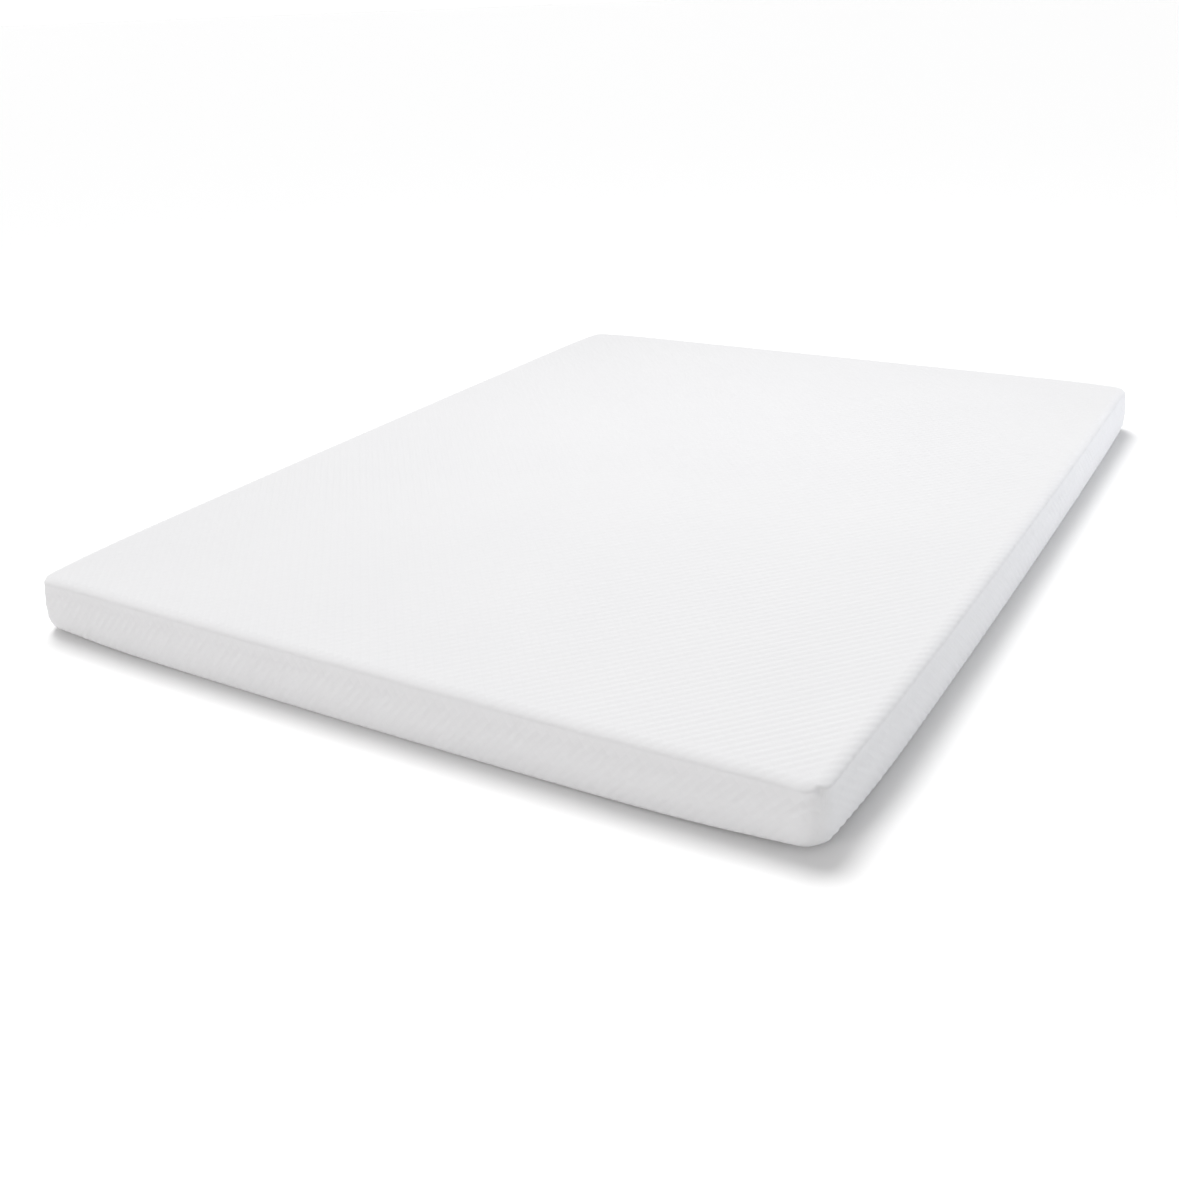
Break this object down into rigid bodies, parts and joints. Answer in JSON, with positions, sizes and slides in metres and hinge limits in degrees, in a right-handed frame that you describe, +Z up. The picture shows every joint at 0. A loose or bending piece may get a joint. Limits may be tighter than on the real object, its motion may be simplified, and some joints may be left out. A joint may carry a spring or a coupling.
{
  "type": "memory foam mattress",
  "caption": "Slim foam mattress in a white diamond-knit cover that unzips all round, with a bonded foam core in a liner.",
  "frame": {"origin": "middle of the underside, on the surface the mattress lies on", "axes": "+Z up through the depth, +Y along the length towards the head end with the open zip slot, +X across the width"},
  "size_m": [1.5, 2.0003, 0.1065],
  "materials": {
    "cover_knit": "matte",
    "base_cloth": "matte",
    "liner": "matte",
    "zip_tape": "matte",
    "zip_coil": "satin",
    "zip_metal": "satin",
    "support_foam": "matte",
    "bond": "satin",
    "memory_foam": "matte",
    "label": "satin"
  },
  "bodies": {
    "base": {"base_panel": "base_cloth", "zip_tape_lower": "zip_tape", "zip_coil_lower": "zip_coil", "zip_stop_lower": "zip_metal"},
    "core": {"support_foam": "support_foam", "bond_layer": "bond", "memory_foam": "memory_foam", "liner_lower": "liner", "liner_upper": "liner"},
    "cover": {"cover_top_panel": "cover_knit", "cover_head_skirt": "cover_knit", "cover_foot_skirt": "cover_knit", "cover_left_skirt": "cover_knit", "cover_right_skirt": "cover_knit", "cover_corner_wraps": "cover_knit", "corner_seam_allowances": "cover_knit", "zip_facing": "cover_knit", "zip_tape_upper": "zip_tape", "zip_coil_upper": "zip_coil", "zip_stop_upper": "zip_metal", "care_label": "label"},
    "slider": {"zip_slider": "zip_metal"},
    "pull": {"zip_pull": "zip_metal"}
  },
  "joints": [
    {"name": "core_lift", "type": "slide", "parent": "base", "child": "core", "axis": [0, 0, 1], "range_m": [0, 0.15]},
    {"name": "cover_lift", "type": "slide", "parent": "core", "child": "cover", "axis": [0, 0, 1], "range_m": [0, 0.25]},
    {"name": "zip_travel", "type": "slide", "parent": "base", "child": "slider", "axis": [-1, 0, 0], "range_m": [0, 1.36]},
    {"name": "pull_swing", "type": "hinge", "parent": "slider", "child": "pull", "pos_m": [0.68, 0.99925, 0.0073], "axis": [0, 0, 1], "range_deg": [0, 178]}
  ]
}
